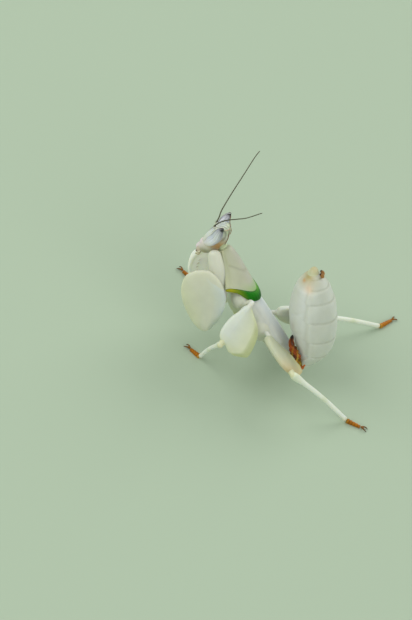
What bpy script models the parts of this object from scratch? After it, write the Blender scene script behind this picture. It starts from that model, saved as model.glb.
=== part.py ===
"""A life-size still model of an orchid mantis nymph, standing on the floor.

Lengths are millimetres and angles degrees until add_solid() turns them into metres. The body has
its own axes (forward, left, up), which the stance tips up at the head and rolls to the right. The
forepart of the body and the head have axes of their own. The animal faces -X.
"""

import math

import bmesh
import bpy
import numpy as np

MM = 0.001
GAP = 0.14  # clearance between neighbouring solids

# Stance
WAIST_HEIGHT = 4.3
BODY_PITCH = 43.0
BODY_ROLL = 21.0
FOREPART_LIFT = 12.2
HEAD_DROP = 35.0
HEAD_ROLL = 1.75
HEAD_YAW = -4.5

# Lengths along the body
HIND_THORAX = (0.6, 6.4)
MIDDLE_THORAX = (6.4, 14.0)
FOREPART_START = (21.4, 0.0, 0.9)
PRONOTUM_LENGTH = 8.65
PRONOTUM_EDGE = 5.66  # how far back its lower edge reaches
PRONOTUM_HALF_WIDTH = 3.9
PRONOTUM_RISE = 3.9
THORAX_HALF_WIDTH = 2.6
THORAX_HALF_HEIGHT = 1.85
HEAD_ORIGIN = (2.92, -0.49, -1.83)
EYE_HALF_DEPTH = 0.9
EYE_HALF_WIDTH = 0.86

# Legs
HIP_BALL = 0.62
KNEE_BALL = 0.6
MIDDLE_CREST = (0.0, 0.1, 0.3, 0.8, 1.0, 0.9, 0.55, 0.1)
HIND_CREST = (0.3, 0.8, 1.1, 1.15, 1.1, 0.9, 0.55, 0.1)
LEGS = {
    # hip in body axes, then knee, ankle and claw end in world axes from the point below the waist
    "middle_left": {
        "hip": (12.1, 3.75, 1.2), "coxa_lean": 0.6, "knee": (-8.5, -9.7, 8.9), "ankle": (-11.8, -6.5, 0.45),
        "toe": (-13.9, -5.85, 0.3), "lobe_way": (0.92, 0.11, -0.37), "lobe": 5.3, "shin": 0.42,
        "crest": 1.5, "crest_shares": MIDDLE_CREST,
    },
    "middle_right": {
        "hip": (12.1, -3.6, 0.5), "coxa_lean": 0.6, "knee": (-13.2, 3.9, 4.5), "ankle": (-20.9, 8.6, 0.45),
        "toe": (-23.0, 9.3, 0.3), "lobe_way": (0.92, -0.11, -0.37), "lobe": 5.3, "shin": 0.42,
        "crest": 1.5, "crest_shares": MIDDLE_CREST,
    },
    "hind_left": {
        "hip": (5.8, 3.5, 0.5), "coxa_lean": 0.9, "knee": (4.5, -8.6, 9.5), "ankle": (14.8, -3.6, 0.45),
        "toe": (17.4, -3.3, 0.3), "lobe_way": (0.43, 0.74, -0.52), "lobe": 3.2, "shin": 0.5,
        "crest": 1.6, "crest_shares": HIND_CREST,
    },
    "hind_right": {
        "hip": (5.8, -3.5, 0.5), "coxa_lean": 0.9, "knee": (1.9, 9.6, 5.7), "ankle": (11.05, 19.5, 0.45),
        "toe": (12.2, 22.3, 0.3), "lobe_way": (-0.27, -0.21, -0.88), "lobe": 3.2, "shin": 0.5,
        "crest": 1.6, "crest_shares": HIND_CREST,
    },
}

# Colours, as linear red, green and blue
IVORY = (0.72, 0.74, 0.64)
PETAL = (0.68, 0.72, 0.50)
COLLAR_GREEN = (0.03, 0.22, 0.01)
EYE_GREY = (0.50, 0.50, 0.55)
FOOT_ORANGE = (0.50, 0.14, 0.01)
MARK_BROWN = (0.25, 0.03, 0.01)
FEELER_OLIVE = (0.12, 0.13, 0.06)


def turned(axes, angle, first, second):
    """Axes with the first turned towards the second by an angle."""
    c, s = math.cos(math.radians(angle)), math.sin(math.radians(angle))
    new = axes.copy()
    new[first] = c * axes[first] + s * axes[second]
    new[second] = c * axes[second] - s * axes[first]
    return new


FORWARD, LEFT, UP = 0, 1, 2
level_axes = np.array([[-1.0, 0.0, 0.0], [0.0, -1.0, 0.0], [0.0, 0.0, 1.0]])
body_axes = turned(turned(level_axes, BODY_PITCH, FORWARD, UP), BODY_ROLL, LEFT, UP)
forepart_axes = turned(body_axes, FOREPART_LIFT, FORWARD, UP)
head_axes = turned(turned(forepart_axes, -HEAD_DROP, FORWARD, UP), HEAD_ROLL, UP, LEFT)
head_axes = turned(head_axes, HEAD_YAW, FORWARD, LEFT)
waist = np.array([0.0, 0.0, WAIST_HEIGHT])


def in_body(points):
    return waist + np.asarray(points, float) @ body_axes


def in_forepart(points):
    return in_body(FOREPART_START) + np.asarray(points, float) @ forepart_axes


def in_head(points):
    return in_forepart(HEAD_ORIGIN) + np.asarray(points, float) @ head_axes


def mirrored(points):
    """The same points on the right side."""
    return np.asarray(points, float) * (1, -1, 1)


def smooth(points, count):
    """Points evenly spread in parameter along a Catmull-Rom curve through rows of numbers."""
    rows = np.asarray(points, float)
    rows = np.vstack([2 * rows[0] - rows[1], rows, 2 * rows[-1] - rows[-2]])
    place = np.linspace(0, len(rows) - 3, count)
    cell = np.minimum(place.astype(int), len(rows) - 4)
    t = (place - cell)[:, None]
    a, b, c, d = (rows[cell + k] for k in range(4))
    bend, twist = 2 * a - 5 * b + 4 * c - d, 3 * b - a - 3 * c + d
    return 0.5 * (2 * b + (c - a) * t + bend * t**2 + twist * t**3)


def unit(vectors):
    vectors = np.asarray(vectors, float)
    return vectors / np.linalg.norm(vectors, axis=-1, keepdims=True)


def add_solid(name, rings, colour, roughness=0.5):
    """One closed object: rings of points joined in order, with a fan over each end."""
    rings = np.asarray(rings)
    count = rings.shape[1]
    bm = bmesh.new()
    loops = [[bm.verts.new(p * MM) for p in ring] for ring in rings]
    for near, far in zip(loops, loops[1:]):
        for k in range(count):
            after = (k + 1) % count
            bm.faces.new((near[k], near[after], far[after], far[k]))
    for loop, ring in ((loops[0], rings[0]), (loops[-1], rings[-1])):
        middle = bm.verts.new(ring.mean(axis=0) * MM)
        for k in range(count):
            bm.faces.new((loop[k], loop[(k + 1) % count], middle))
    bmesh.ops.recalc_face_normals(bm, faces=bm.faces)
    mesh = bpy.data.meshes.new(name)
    bm.to_mesh(mesh)
    bm.free()
    mesh.shade_smooth()
    solid = bpy.data.objects.new(name, mesh)
    bpy.context.collection.objects.link(solid)
    material = bpy.data.materials.new(name)
    material.use_nodes = True
    surface = material.node_tree.nodes["Principled BSDF"]
    surface.inputs["Base Color"].default_value = (*colour, 1.0)
    surface.inputs["Roughness"].default_value = roughness
    mesh.materials.append(material)
    return solid


def rings_along(path, side, widths, heights, count=10, flat=1.0):
    """Oval rings square to a path: widths lie along the side vector, heights across it."""
    along = unit(np.gradient(path, axis=0))
    side = np.asarray(side, float) - (along @ np.asarray(side, float))[:, None] * along
    side = unit(side)
    rise = np.cross(along, side)
    turn = np.linspace(0, 2 * math.pi, count, endpoint=False)
    across = np.sign(np.cos(turn)) * np.abs(np.cos(turn)) ** flat
    over = np.sign(np.sin(turn)) * np.abs(np.sin(turn)) ** flat
    wide = np.asarray(widths)[:, None, None] * across[None, :, None] * side[:, None, :]
    high = np.asarray(heights)[:, None, None] * over[None, :, None] * rise[:, None, :]
    return path[:, None, :] + wide + high


def thorax(name, span, colour=IVORY):
    """A length of the thorax. Its front leans back under the shield, its underside is flatter."""
    turn = np.linspace(0, 2 * math.pi, 18, endpoint=False)
    side, rise = np.sin(turn), np.cos(turn)
    rings = []
    for f in np.linspace(span[0] + GAP / 2, span[1] - GAP / 2, 6):
        forward = max(0.0, (f - 9.0) / 5.0)
        lean = 1.9 * forward
        half_width = THORAX_HALF_WIDTH * (1 - 0.08 * forward) - 0.3 * max(0.0, 1 - f / 4)
        half_height = THORAX_HALF_HEIGHT * (1 - 0.1 * forward)
        ring = np.stack([f - lean * rise, half_width * side, half_height * rise - 0.03 * f], axis=1)
        rings.append(in_body(ring))
    add_solid(name, rings, colour)


def pronotum():
    """The shield over the forepart: arched above, widest at its lower edge, cut back on a slant."""
    stations = smooth(
        # lower edge's place forward, its height, half width, rise above it, drop below it
        [
            (-0.02, -0.45, 1.15, 1.2, 0.75),
            (-0.7, -0.5, 1.65, 1.8, 0.8),
            (-1.9, -0.6, 2.15, 2.35, 0.8),
            (-3.3, -0.75, 2.65, 2.85, 0.75),
            (-4.6, -0.95, 3.3, 3.35, 0.6),
            (-PRONOTUM_EDGE, -1.2, PRONOTUM_HALF_WIDTH, PRONOTUM_RISE, 0.5),
        ],
        9,
    )
    turn = np.linspace(0, 2 * math.pi, 22, endpoint=False)
    rings = []
    for edge, level, half_width, rise, drop in stations:
        over = np.cos(turn)
        lean = (PRONOTUM_LENGTH - PRONOTUM_EDGE) * max(0.0, -edge / PRONOTUM_EDGE)
        height = np.where(over > 0, rise * over, drop * over)
        place = edge - lean * np.maximum(over, 0.0) ** 2
        side = half_width * np.sign(np.sin(turn)) * np.abs(np.sin(turn)) ** 0.9
        rings.append(in_forepart(np.stack([place, side, level + height], axis=1)))
    add_solid("pronotum", rings, IVORY)


def collar():
    """The green band along the shield's hind margin, widest on top and thin at both ends."""
    band_width, band_thickness, tilt = 1.55, 0.5, math.radians(12)
    rings = []
    for angle in np.linspace(-math.radians(92), math.radians(92), 21):
        middle = math.cos(angle) ** 2 if abs(angle) < math.pi / 2 else 0.0
        aloft = max(0.0, math.cos(angle))
        widening = 0.3 + 0.7 * min(1.0, max(0.0, (aloft - 0.5) / 0.3))
        slant = PRONOTUM_LENGTH - PRONOTUM_EDGE
        width = 0.35 + ((band_width - 0.35) * aloft**0.9 + slant * (aloft - middle)) * widening
        outward = np.array([0.0, math.sin(angle), math.cos(angle)])
        margin = (-PRONOTUM_EDGE, 0.0, -1.2) + outward * (0.0, PRONOTUM_HALF_WIDTH, PRONOTUM_RISE)
        margin[0] -= slant * middle
        back = outward * math.sin(tilt) - (math.cos(tilt), 0.0, 0.0)
        inner = margin + (-GAP - 0.02, 0, 0) - outward * 0.1
        thick = band_thickness / 2
        corners = [
            inner + outward * thick, inner + back * width * 0.55 + outward * thick * 1.1,
            inner + back * width, inner + back * width * 0.55 - outward * thick * 1.1,
            inner - outward * thick,
        ]
        rings.append(in_forepart(corners))
    add_solid("collar", rings, COLLAR_GREEN, 0.35)


def neck():
    """The short soft neck between the shield and the back of the head."""
    path = smooth([(0.12, 0.0, -0.35), (0.18, 0.0, -0.38), (0.24, 0.0, -0.4)], 3)
    radius = np.full(3, 0.42)
    add_solid("neck", rings_along(in_forepart(path), forepart_axes[LEFT], radius * 1.1, radius), IVORY)


def abdomen():
    """Three lengths of the curled abdomen, whose rings fan round the crease behind the thorax."""
    stations = smooth(
        # a back point and a belly point, each forward and up, and the half width between them
        [
            (0.30, 1.75, 0.30, -1.80, 2.3),
            (0.12, 1.80, -1.75, -1.40, 2.4),
            (0.00, 1.92, -3.20, -0.05, 2.6),
            (-0.05, 2.10, -3.90, 2.10, 2.9),
            (0.00, 2.35, -3.80, 4.60, 3.3),
            (0.70, 2.75, -3.00, 7.30, 3.9),
            (3.10, 3.30, -0.95, 9.50, 4.6),
            (5.90, 4.50, 1.60, 11.15, 4.95),
            (8.35, 6.00, 4.70, 12.40, 4.6),
            (10.40, 7.95, 7.40, 12.85, 3.8),
            (11.60, 9.70, 9.60, 13.00, 2.9),
            (12.00, 11.00, 11.10, 12.80, 1.6),
        ],
        67,
    )
    turn = np.linspace(0, 2 * math.pi, 16, endpoint=False)
    side = np.sin(turn)
    over = np.sign(np.cos(turn)) * np.abs(np.cos(turn)) ** 1.15

    def ring(row):
        back, belly, half_width = row[0:2], row[2:4], row[4]
        middle, reach = (back + belly) / 2, (back - belly) / 2
        points = middle + over[:, None] * reach
        return in_body(np.stack([points[:, 0], half_width * side, points[:, 1]], axis=1))

    rows = {"abdomen_base": (0, 30), "abdomen_middle": (31, 48), "abdomen_tip": (49, 66)}
    for name, (first, last) in rows.items():
        chosen = np.unique(np.round(np.linspace(first, last, (last - first) // 3 + 1)).astype(int))
        rings = np.array([ring(stations[k]) for k in chosen])
        if first:
            rings[0] += unit(rings[1].mean(axis=0) - rings[0].mean(axis=0)) * (GAP - 0.2)
        add_solid(name, rings, IVORY)


def waist_marks():
    """Knobbly red-brown crests in the crease between thorax and abdomen, one on each side."""
    path = smooth(
        [
            (3.5, 3.6, 4.2), (2.0, 3.45, 3.1), (0.6, 3.5, 2.75), (-0.7, 3.7, 2.65), (-1.8, 3.95, 2.4),
            (-2.6, 4.1, 2.7), (-2.3, 4.1, 3.6),
        ],
        25,
    )
    along = np.linspace(0, 1, 25)
    radius = 0.36 + 0.34 * np.sin(math.pi * along) ** 0.8 + 0.1 * np.cos(along * 5 * 2 * math.pi)
    radius[-3:] = (0.3, 0.27, 0.25)
    for name, points in (("waist_mark_left", path), ("waist_mark_right", mirrored(path))):
        place = in_body(points)
        add_solid(name, rings_along(place, body_axes[LEFT], radius, radius, 8), MARK_BROWN, 0.4)


def cerci():
    """The two short feelers at the tip of the abdomen."""
    path = smooth([(9.6, 0.5, 13.46), (10.15, 0.52, 13.42), (10.7, 0.55, 13.3)], 4)
    radius = np.array([0.32, 0.36, 0.33, 0.26])
    for name, points in (("cercus_left", path), ("cercus_right", mirrored(path))):
        rings = rings_along(in_body(points), body_axes[LEFT], radius, radius, 7)
        add_solid(name, rings, FOOT_ORANGE, 0.4)


def eye_rings(extra=0.0):
    """A tall pointed cone of an eye on the left side, fattest two thirds of the way up."""
    points = [
        (-0.08, 1.64, -1.4), (-0.5, 1.72, -0.4), (-0.76, 1.98, 1.1), (-0.5, 2.58, 2.6), (-0.5, 2.98, 3.8),
    ]
    path = smooth(points, 13)
    along = np.linspace(0, 1, 13)
    swell = np.array([0.24, 0.52, 0.72, 0.87, 0.96, 1.0, 1.0, 0.96, 0.88, 0.76, 0.6, 0.4, 0.14])
    deep, wide = EYE_HALF_DEPTH * swell + extra, EYE_HALF_WIDTH * swell + extra
    if extra:
        path = path + unit(path[-1] - path[0]) * (2 * along - 1)[:, None] * extra * 1.5
    return path, wide, deep


def eyes():
    for name, flip in (("eye_left", 1), ("eye_right", -1)):
        path, wide, deep = eye_rings()
        place = in_head(path * (1, flip, 1))
        add_solid(name, rings_along(place, head_axes[LEFT], wide, deep, 12), EYE_GREY, 0.2)


def head():
    """The face is an upturned wedge between the eyes, with a socket cut on each side for its eye."""
    stations = smooth(
        # height, half width, back, front
        [
            (-3.5, 0.75, -1.30, 0.35),
            (-2.5, 1.13, -2.20, 0.43),
            (-1.2, 1.42, -2.78, 0.43),
            (0.2, 1.50, -2.80, 0.38),
            (1.3, 1.62, -2.72, 0.25),
            (2.2, 1.72, -2.35, 0.00),
            (2.8, 1.42, -2.00, -0.40),
            (3.15, 0.70, -1.75, -0.85),
        ],
        12,
    )
    turn = np.linspace(0, 2 * math.pi, 14, endpoint=False)
    side = np.sign(np.sin(turn)) * np.abs(np.sin(turn)) ** 0.8
    front = np.sign(np.cos(turn)) * np.abs(np.cos(turn)) ** 0.8
    rings = []
    for height, half_width, back, face in stations:
        depth = (face + back) / 2 + front * (face - back) / 2
        rings.append(in_head(np.stack([depth, half_width * side, np.full(14, height)], axis=1)))
    skull = add_solid("head", rings, IVORY)
    for flip in (1, -1):
        path, wide, deep = eye_rings(GAP)
        place = in_head(path * (1, flip, 1))
        socket = add_solid("eye_socket", rings_along(place, head_axes[LEFT], wide, deep, 12), IVORY)
        socket.hide_render = True
        socket.display_type = "WIRE"
        cut = skull.modifiers.new("socket", "BOOLEAN")
        cut.operation = "DIFFERENCE"
        cut.object = socket


def mouthparts():
    """Lip, jaws and palps, closed into one small beak below the face."""
    path = smooth([(-0.22, 0.0, -3.66), (-0.25, 0.0, -4.0), (-0.35, 0.0, -4.35), (-0.45, 0.0, -4.7)], 6)
    wide = np.array([0.72, 0.78, 0.74, 0.62, 0.48, 0.3])
    deep = np.array([0.58, 0.62, 0.58, 0.5, 0.42, 0.28])
    add_solid("mouthparts", rings_along(in_head(path), head_axes[LEFT], wide, deep, 10), IVORY)


def antennae():
    left = [
        (0.68, 0.64, 1.72), (0.62, 1.2, 2.7), (0.29, 2.34, 4.37), (-0.21, 3.19, 5.8),
        (-1.02, 4.33, 7.6), (-1.75, 5.49, 9.4), (-2.69, 7.32, 12.76),
    ]
    right = [
        (0.68, -0.62, 1.72), (0.78, -0.85, 2.86), (1.13, -1.33, 4.12), (1.62, -2.64, 7.02),
        (2.01, -4.14, 10.04), (2.35, -5.97, 12.76), (2.35, -6.91, 13.91),
    ]
    radius = np.linspace(0.3, 0.25, 14)
    for name, points in (("antenna_left", left), ("antenna_right", right)):
        place = in_head(smooth(points, 14))
        add_solid(name, rings_along(place, head_axes[FORWARD], radius, radius, 6), FEELER_OLIVE, 0.4)


def foreleg(side_name, flip):
    """A grasping leg, folded: thigh-like coxa back, broad femur forward, shin closed under it."""

    def place(points, count):
        return in_forepart(smooth(points, count) * (1, flip, 1))

    sideways = forepart_axes[LEFT]
    coxa_rows = [
        (-0.1, 2.3, -1.5, 0.75), (-2.4, 2.35, -2.25, 1.02), (-5.0, 2.35, -2.75, 1.12),
        (-7.1, 2.4, -3.1, 1.1), (-9.3, 2.5, -4.1, 0.95), (-11.2, 2.6, -5.4, 0.66),
    ]
    rows = smooth(coxa_rows, 11)
    path = in_forepart(rows[:, :3] * (1, flip, 1))
    rings = rings_along(path, sideways, rows[:, 3] * 0.8, rows[:, 3], 12)
    add_solid("fore_coxa_" + side_name, rings, IVORY)

    femur_rows = [
        (-12.2, 4.05, -6.8, 0.6, 0.5), (-11.0, 4.2, -6.4, 1.4, 0.66), (-8.8, 4.2, -5.35, 2.45, 0.72),
        (-6.5, 4.2, -4.65, 3.1, 0.74), (-4.4, 4.2, -4.35, 2.85, 0.72), (-3.0, 4.1, -4.1, 2.15, 0.66),
        (-2.35, 4.0, -3.9, 1.2, 0.55),
    ]
    rows = smooth(femur_rows, 12)
    path = in_forepart(rows[:, :3] * (1, flip, 1))
    rings = rings_along(path, sideways, rows[:, 4], rows[:, 3], 14, flat=0.9)
    add_solid("fore_femur_" + side_name, rings, IVORY)

    shin = [
        (-1.5, 3.9, -4.0), (-1.5, 3.9, -5.2), (-2.2, 3.9, -6.9), (-3.8, 3.9, -8.05), (-5.8, 3.9, -8.45),
        (-7.7, 3.9, -8.6),
    ]
    path = place(shin, 12)
    radius = smooth([(0.4,), (0.48,), (0.58,), (0.56,), (0.46,), (0.3,)], 12)[:, 0]
    add_solid("fore_tibia_" + side_name, rings_along(path, sideways, radius, radius, 10), IVORY)

    path = place([(-8.15, 3.9, -8.6), (-10.0, 3.9, -8.5), (-11.8, 3.85, -7.9)], 8)
    radius = np.linspace(0.28, 0.25, 8)
    add_solid("fore_tarsus_" + side_name, rings_along(path, sideways, radius, radius, 8), FOOT_ORANGE)


def coxa(name, flip, hip, lean):
    """The first leg piece, from under the thorax out to the hip ball at its side."""
    f = hip[0]
    points = [
        (f + lean, 1.2, -2.85), (f + lean / 2, 2.4, -2.4), (f, 2.95, -1.2), (f, 3.0, -0.4), (f, 3.1, 0.4),
    ]
    path = in_body(smooth(points, 8) * (1, flip, 1))
    radius = np.array([0.6, 0.7, 0.68, 0.56, 0.48, 0.43, 0.42, 0.32])
    add_solid(name, rings_along(path, body_axes[FORWARD], radius, radius, 9), IVORY)


def femur(name, hip, knee, leg):
    """A flattened shaft with a thin petal lobe along one edge that flares out past the knee."""
    lobe_way, lobe, crest = leg["lobe_way"], leg["lobe"], leg["crest"]
    along = unit(knee - hip)
    length = np.linalg.norm(knee - hip)
    way = np.asarray(lobe_way) - (np.asarray(lobe_way) @ along) * along
    way = unit(way)
    flat_way = np.cross(along, way)
    rows = np.array(
        # place along the shaft, shaft radius, share of the lobe, rim's lead
        [
            (0.0, 0.5, 0.0, 0.0), (0.1, 0.68, 0.2, 0.0), (0.25, 0.72, 0.58, 0.0), (0.43, 0.76, 0.82, 0.0),
            (0.62, 0.78, 0.92, 0.1), (0.8, 0.74, 0.98, 0.2), (0.92, 0.66, 0.95, 0.35), (1.0, 0.55, 0.65, 0.8),
        ]
    )
    profile = smooth(np.column_stack([rows, leg["crest_shares"]]), 12)
    start, end = HIP_BALL + GAP, length - KNEE_BALL - GAP
    turn = np.radians(np.linspace(45, 315, 7))
    rings = []
    for t, shaft, reach, lead, rise in profile:
        centre = hip + along * (start + t * (end - start))
        back = rise * max(0.0, crest - shaft)
        petal = shaft + max(0.0, lobe - shaft) * reach
        middle = 0.45 * shaft + 0.55 * petal
        ring = [centre + (shaft * math.cos(a) - back) * way + shaft * math.sin(a) * flat_way for a in turn]
        for out, thick in ((middle, -0.4), (petal, -0.27), (petal, 0.27), (middle, 0.4)):
            ring.append(centre + out * way + thick * flat_way + lead * lobe / 5 * along)
        rings.append(ring)
    add_solid(name, rings, PETAL)


def tibia(name, knee, ankle, thickness):
    """A slender shin, thick at its knee ball, with a slight bow."""
    along = unit(ankle - knee)
    end = ankle - along * (0.3 + GAP)
    start = knee - along * 0.42
    bow = unit(np.cross(along, (0.0, 0.0, 1.0)))
    outward = np.cross(bow, along)
    steps = np.linspace(0, 1, 11)
    path = start + steps[:, None] * (end - start) + 0.35 * np.sin(math.pi * steps)[:, None] * outward
    radius = thickness * (0.92 + 0.5 * np.exp(-((steps - 0.07) / 0.1) ** 2) - 0.12 * steps)
    radius[0] *= 0.6
    add_solid(name, rings_along(path, bow, radius, radius, 10), IVORY)


def tarsus(name, ankle, toe):
    """A five-jointed foot that lies on its flat sole."""
    count = 12
    steps = np.linspace(0, 1, count)
    along = unit((toe - ankle) * (1, 1, 0))
    across = np.cross((0.0, 0.0, 1.0), along)
    floor_from, floor_to = ankle * (1, 1, 0), toe * (1, 1, 0)
    joints = 1 + 0.13 * np.cos(steps * 4 * 2 * math.pi)
    half = (0.42 - 0.14 * steps) * joints
    half[0] = 0.28
    tall = (0.86 - 0.32 * steps) * (0.5 + 0.5 * joints)
    tall[0] = 0.62
    right_half = [(0.7, 0.0), (1.0, 0.3), (0.85, 0.75), (0.4, 1.0)]
    outline = right_half + [(-x, z) for x, z in reversed(right_half)]
    rings = []
    for t, w, h in zip(steps, half, tall):
        centre = floor_from + t * (floor_to - floor_from)
        rings.append([centre + w * x * across + (0, 0, h * z) for x, z in outline])
    add_solid(name, rings, FOOT_ORANGE)


def claws(name, ankle, toe):
    """A pair of curved claws, made as one wishbone whose tips rest on the floor."""
    along = unit((toe - ankle) * (1, 1, 0))
    across = np.cross((0.0, 0.0, 1.0), along)
    root = toe * (1, 1, 0) + along * (GAP + 0.27)
    sideways = (-0.44, -0.5, -0.32, 0.0, 0.32, 0.5, 0.44)
    onward = (0.95, 0.55, 0.12, 0.0, 0.12, 0.55, 0.95)
    height = (0.27, 0.48, 0.42, 0.36, 0.42, 0.48, 0.27)
    points = [root + s * across + o * along + (0, 0, h) for s, o, h in zip(sideways, onward, height)]
    path = smooth(points, 11)
    steps = np.linspace(-1, 1, 11)
    radius = 0.27 - 0.02 * np.abs(steps)
    add_solid(name, rings_along(path, (0.0, 0.0, 1.0), radius, radius, 6), FOOT_ORANGE, 0.35)


def walking_leg(leg_name, leg):
    hip = in_body(leg["hip"])
    knee, ankle, toe = (np.asarray(leg[key], float) for key in ("knee", "ankle", "toe"))
    coxa("coxa_" + leg_name, math.copysign(1, leg["hip"][1]), leg["hip"], leg["coxa_lean"])
    femur("femur_" + leg_name, hip, knee, leg)
    tibia("tibia_" + leg_name, knee, ankle, leg["shin"])
    tarsus("tarsus_" + leg_name, ankle, toe)
    claws("claws_" + leg_name, ankle, toe)


def centre_on_floor():
    """Puts the origin at the middle of the model's footprint."""
    solids = [o for o in bpy.data.objects if not o.hide_render]
    points = np.array([v.co[:] for o in solids for v in o.data.vertices])
    middle = (points.min(axis=0) + points.max(axis=0)) / 2
    for solid in bpy.data.objects:
        solid.location = (-middle[0], -middle[1], 0.0)


for old in list(bpy.data.objects):
    bpy.data.objects.remove(old)

head()
mouthparts()
eyes()
antennae()
neck()
pronotum()
collar()
thorax("mesothorax", MIDDLE_THORAX)
thorax("metathorax", HIND_THORAX)
abdomen()
waist_marks()
cerci()
foreleg("left", 1)
foreleg("right", -1)
for leg_name, leg in LEGS.items():
    walking_leg(leg_name, leg)
centre_on_floor()
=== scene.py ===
"""An orchid mantis nymph, life size, as a museum's still model on a plain pale floor.

Shapes are worked out in millimetres in the animal's own axes (forward, left, up), which the stance
tips up at the head and rolls to the right, and are turned to metres when a mesh is made.
"""

import math

import bpy
import numpy as np
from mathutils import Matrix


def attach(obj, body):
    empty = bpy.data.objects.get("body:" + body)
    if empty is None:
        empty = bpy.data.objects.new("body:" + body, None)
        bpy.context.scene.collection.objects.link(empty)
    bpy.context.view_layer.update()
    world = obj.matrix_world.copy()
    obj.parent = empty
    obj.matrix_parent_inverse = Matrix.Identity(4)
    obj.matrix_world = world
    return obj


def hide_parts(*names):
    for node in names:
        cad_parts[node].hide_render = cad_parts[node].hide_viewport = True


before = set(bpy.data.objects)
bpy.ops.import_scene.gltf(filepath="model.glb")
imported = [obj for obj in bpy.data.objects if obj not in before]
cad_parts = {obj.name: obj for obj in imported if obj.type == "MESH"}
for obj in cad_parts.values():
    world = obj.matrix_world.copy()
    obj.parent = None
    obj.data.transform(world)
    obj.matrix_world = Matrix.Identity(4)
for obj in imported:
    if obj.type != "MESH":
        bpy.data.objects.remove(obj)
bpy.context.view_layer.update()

# ---------------------------------------------------------------- studio
# A pale matt floor, three large soft lamps, the strongest on the left, and a dim, faintly green room.
# The camera looks down on the animal's left side with a long lens, rolled as the animal sits on a slope.


def linear(colour):
    """An sRGB hex colour as linear red, green and blue."""
    part = np.array([int(colour[k : k + 2], 16) for k in (1, 3, 5)]) / 255
    return np.where(part <= 0.04045, part / 12.92, ((part + 0.055) / 1.055) ** 2.4)


def node(tree, kind, settings=None, links=None):
    """Adds a shader node, sets its properties, and gives each input a value or another node's output."""
    new = tree.nodes.new("ShaderNode" + kind)
    for key, value in (settings or {}).items():
        setattr(new, key, value)
    for key, value in (links or {}).items():
        if isinstance(value, bpy.types.NodeSocket):
            tree.links.new(value, new.inputs[key])
        else:
            new.inputs[key].default_value = value
    return new


FLOOR_HALF = 2.5
floor_mesh = bpy.data.meshes.new("floor")
floor_mesh.from_pydata(
    [
        (-FLOOR_HALF, -FLOOR_HALF, 0), (FLOOR_HALF, -FLOOR_HALF, 0), (FLOOR_HALF, FLOOR_HALF, 0),
        (-FLOOR_HALF, FLOOR_HALF, 0)
    ],
    [], [(0, 1, 2, 3)],
)
floor = bpy.data.objects.new("floor", floor_mesh)
bpy.context.collection.objects.link(floor)
floor_paint = bpy.data.materials.new("matt_floor_paint")
floor_paint.use_nodes = True
paint = floor_paint.node_tree.nodes["Principled BSDF"]
paint.inputs["Base Color"].default_value = (*linear("#ADBDA6"), 1)
paint.inputs["Roughness"].default_value = 0.9
floor_mesh.materials.append(floor_paint)

view = np.array([[0.87296, 0.43456, 0.2216], [-0.46405, 0.59979, 0.65186], [0.15036, -0.67188, 0.72524]])
CAMERA_PLACE = np.array([0.04894, -0.27914, 0.29817])
lens = bpy.data.cameras.new("camera")
lens.lens, lens.sensor_width, lens.clip_start = 139.35, 36.0, 0.01
camera = bpy.data.objects.new("camera", lens)
bpy.context.collection.objects.link(camera)
pose = np.eye(4)
pose[:3, :3] = view.T
pose[:3, 3] = CAMERA_PLACE
camera.matrix_world = pose.T.tolist()
bpy.context.scene.camera = camera

for lamp_name, place, size, watts in (
    ("key", (-0.5, -0.22, 0.5), 0.7, 2.6),
    ("fill", (0.55, -0.35, 0.45), 0.7, 1.7),
    ("back", (0.1, 0.6, 0.5), 0.6, 2.0),
):
    lamp = bpy.data.lights.new(lamp_name, "AREA")
    lamp.shape, lamp.size, lamp.energy = "DISK", size, watts
    stand = bpy.data.objects.new(lamp_name, lamp)
    away = np.array(place) - (0, 0, 0.01)
    away = away / np.linalg.norm(away)
    across = np.cross((0, 0, 1), away)
    across = across / np.linalg.norm(across)
    turn = np.eye(4)
    turn[:3, 0], turn[:3, 1], turn[:3, 2], turn[:3, 3] = across, np.cross(away, across), away, place
    stand.matrix_world = turn.T.tolist()
    bpy.context.collection.objects.link(stand)
room = bpy.data.worlds.new("room")
bpy.context.scene.world = room
room.use_nodes = True
room.node_tree.nodes["Background"].inputs["Color"].default_value = (0.93, 1.0, 0.94, 1)
room.node_tree.nodes["Background"].inputs["Strength"].default_value = 0.5
bpy.context.scene.view_settings.view_transform = "Standard"

# ---------------------------------------------------------------- trunk: thorax, abdomen and hip pieces
# The waxy chitin of the two hind thorax rings, the curled abdomen with its eight soft rings, and the
# four coxae that hang from the thorax. It is one unbroken skin with creases where the plates meet.

MM = 0.001
FORWARD, LEFT, UP = 0, 1, 2
BODY_PITCH, BODY_ROLL, FOREPART_LIFT = 43.0, 21.0, 12.2
WAIST = np.array([2.8314, -6.8895, 4.3])
IVORY, CREASE_GREY, LEAF_YELLOW = "#DCDDD3", "#A7AB97", "#CFD0AE"


def turned(axes, angle, first, second):
    """Axes with the first turned towards the second by an angle in degrees."""
    c, s = math.cos(math.radians(angle)), math.sin(math.radians(angle))
    new = axes.copy()
    new[first] = c * axes[first] + s * axes[second]
    new[second] = c * axes[second] - s * axes[first]
    return new


level_axes = np.array([[-1.0, 0.0, 0.0], [0.0, -1.0, 0.0], [0.0, 0.0, 1.0]])
body_axes = turned(turned(level_axes, BODY_PITCH, FORWARD, UP), BODY_ROLL, LEFT, UP)


def in_body(points):
    """Points from the body's own axes, whose origin is the waist, to the floor's."""
    return WAIST + np.asarray(points, float) @ body_axes


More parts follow.
